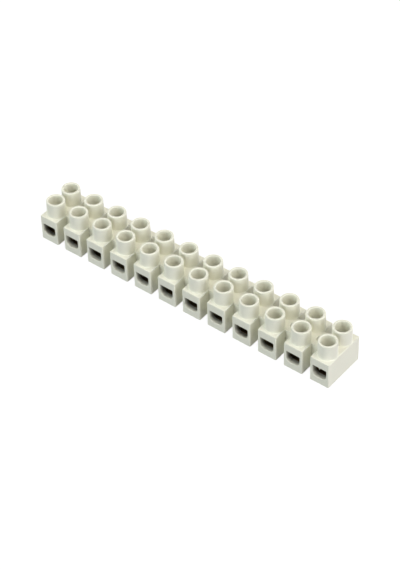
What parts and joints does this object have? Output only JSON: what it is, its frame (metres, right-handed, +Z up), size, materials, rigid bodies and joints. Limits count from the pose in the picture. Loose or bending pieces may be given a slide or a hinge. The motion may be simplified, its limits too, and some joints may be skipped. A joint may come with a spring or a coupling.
{
  "type": "pillar terminal strip",
  "caption": "Straight moulded terminal strip with a row of joined cells, two screw towers on each cell, rectangular wire entries, brass inserts and slotted clamping screws.",
  "frame": {"origin": "middle of the strip's base, on the surface it stands on", "axes": "+X along the row of poles, -Y out of the front wire entries, +Z up through the screw towers"},
  "size_m": [0.1696, 0.0234, 0.022],
  "materials": {
    "ivory_plastic": "satin moulded thermoplastic",
    "brass": "machined",
    "plated_steel": "zinc plated"
  },
  "bodies": {
    "strip": {"housing": "ivory_plastic", "insert_01": "brass", "insert_02": "brass", "insert_03": "brass", "insert_04": "brass", "insert_05": "brass", "insert_06": "brass", "insert_07": "brass", "insert_08": "brass", "insert_09": "brass", "insert_10": "brass", "insert_11": "brass", "insert_12": "brass"},
    "screw_front_01": {"screw_front_01": "plated_steel"},
    "screw_front_02": {"screw_front_02": "plated_steel"},
    "screw_front_03": {"screw_front_03": "plated_steel"},
    "screw_front_04": {"screw_front_04": "plated_steel"},
    "screw_front_05": {"screw_front_05": "plated_steel"},
    "screw_front_06": {"screw_front_06": "plated_steel"},
    "screw_front_07": {"screw_front_07": "plated_steel"},
    "screw_front_08": {"screw_front_08": "plated_steel"},
    "screw_front_09": {"screw_front_09": "plated_steel"},
    "screw_front_10": {"screw_front_10": "plated_steel"},
    "screw_front_11": {"screw_front_11": "plated_steel"},
    "screw_front_12": {"screw_front_12": "plated_steel"},
    "screw_rear_01": {"screw_rear_01": "plated_steel"},
    "screw_rear_02": {"screw_rear_02": "plated_steel"},
    "screw_rear_03": {"screw_rear_03": "plated_steel"},
    "screw_rear_04": {"screw_rear_04": "plated_steel"},
    "screw_rear_05": {"screw_rear_05": "plated_steel"},
    "screw_rear_06": {"screw_rear_06": "plated_steel"},
    "screw_rear_07": {"screw_rear_07": "plated_steel"},
    "screw_rear_08": {"screw_rear_08": "plated_steel"},
    "screw_rear_09": {"screw_rear_09": "plated_steel"},
    "screw_rear_10": {"screw_rear_10": "plated_steel"},
    "screw_rear_11": {"screw_rear_11": "plated_steel"},
    "screw_rear_12": {"screw_rear_12": "plated_steel"}
  },
  "joints": [
    {"name": "screw_front_01_travel", "type": "slide", "parent": "strip", "child": "screw_front_01", "axis": [0, 0, 1], "range_m": [-0.0032, 0.001]},
    {"name": "screw_front_02_travel", "type": "slide", "parent": "strip", "child": "screw_front_02", "axis": [0, 0, 1], "range_m": [-0.0032, 0.001]},
    {"name": "screw_front_03_travel", "type": "slide", "parent": "strip", "child": "screw_front_03", "axis": [0, 0, 1], "range_m": [-0.0032, 0.001]},
    {"name": "screw_front_04_travel", "type": "slide", "parent": "strip", "child": "screw_front_04", "axis": [0, 0, 1], "range_m": [-0.0032, 0.001]},
    {"name": "screw_front_05_travel", "type": "slide", "parent": "strip", "child": "screw_front_05", "axis": [0, 0, 1], "range_m": [-0.0032, 0.001]},
    {"name": "screw_front_06_travel", "type": "slide", "parent": "strip", "child": "screw_front_06", "axis": [0, 0, 1], "range_m": [-0.0032, 0.001]},
    {"name": "screw_front_07_travel", "type": "slide", "parent": "strip", "child": "screw_front_07", "axis": [0, 0, 1], "range_m": [-0.0032, 0.001]},
    {"name": "screw_front_08_travel", "type": "slide", "parent": "strip", "child": "screw_front_08", "axis": [0, 0, 1], "range_m": [-0.0032, 0.001]},
    {"name": "screw_front_09_travel", "type": "slide", "parent": "strip", "child": "screw_front_09", "axis": [0, 0, 1], "range_m": [-0.0032, 0.001]},
    {"name": "screw_front_10_travel", "type": "slide", "parent": "strip", "child": "screw_front_10", "axis": [0, 0, 1], "range_m": [-0.0032, 0.001]},
    {"name": "screw_front_11_travel", "type": "slide", "parent": "strip", "child": "screw_front_11", "axis": [0, 0, 1], "range_m": [-0.0032, 0.001]},
    {"name": "screw_front_12_travel", "type": "slide", "parent": "strip", "child": "screw_front_12", "axis": [0, 0, 1], "range_m": [-0.0032, 0.001]},
    {"name": "screw_rear_01_travel", "type": "slide", "parent": "strip", "child": "screw_rear_01", "axis": [0, 0, 1], "range_m": [-0.0032, 0.001]},
    {"name": "screw_rear_02_travel", "type": "slide", "parent": "strip", "child": "screw_rear_02", "axis": [0, 0, 1], "range_m": [-0.0032, 0.001]},
    {"name": "screw_rear_03_travel", "type": "slide", "parent": "strip", "child": "screw_rear_03", "axis": [0, 0, 1], "range_m": [-0.0032, 0.001]},
    {"name": "screw_rear_04_travel", "type": "slide", "parent": "strip", "child": "screw_rear_04", "axis": [0, 0, 1], "range_m": [-0.0032, 0.001]},
    {"name": "screw_rear_05_travel", "type": "slide", "parent": "strip", "child": "screw_rear_05", "axis": [0, 0, 1], "range_m": [-0.0032, 0.001]},
    {"name": "screw_rear_06_travel", "type": "slide", "parent": "strip", "child": "screw_rear_06", "axis": [0, 0, 1], "range_m": [-0.0032, 0.001]},
    {"name": "screw_rear_07_travel", "type": "slide", "parent": "strip", "child": "screw_rear_07", "axis": [0, 0, 1], "range_m": [-0.0032, 0.001]},
    {"name": "screw_rear_08_travel", "type": "slide", "parent": "strip", "child": "screw_rear_08", "axis": [0, 0, 1], "range_m": [-0.0032, 0.001]},
    {"name": "screw_rear_09_travel", "type": "slide", "parent": "strip", "child": "screw_rear_09", "axis": [0, 0, 1], "range_m": [-0.0032, 0.001]},
    {"name": "screw_rear_10_travel", "type": "slide", "parent": "strip", "child": "screw_rear_10", "axis": [0, 0, 1], "range_m": [-0.0032, 0.001]},
    {"name": "screw_rear_11_travel", "type": "slide", "parent": "strip", "child": "screw_rear_11", "axis": [0, 0, 1], "range_m": [-0.0032, 0.001]},
    {"name": "screw_rear_12_travel", "type": "slide", "parent": "strip", "child": "screw_rear_12", "axis": [0, 0, 1], "range_m": [-0.0032, 0.001]}
  ]
}
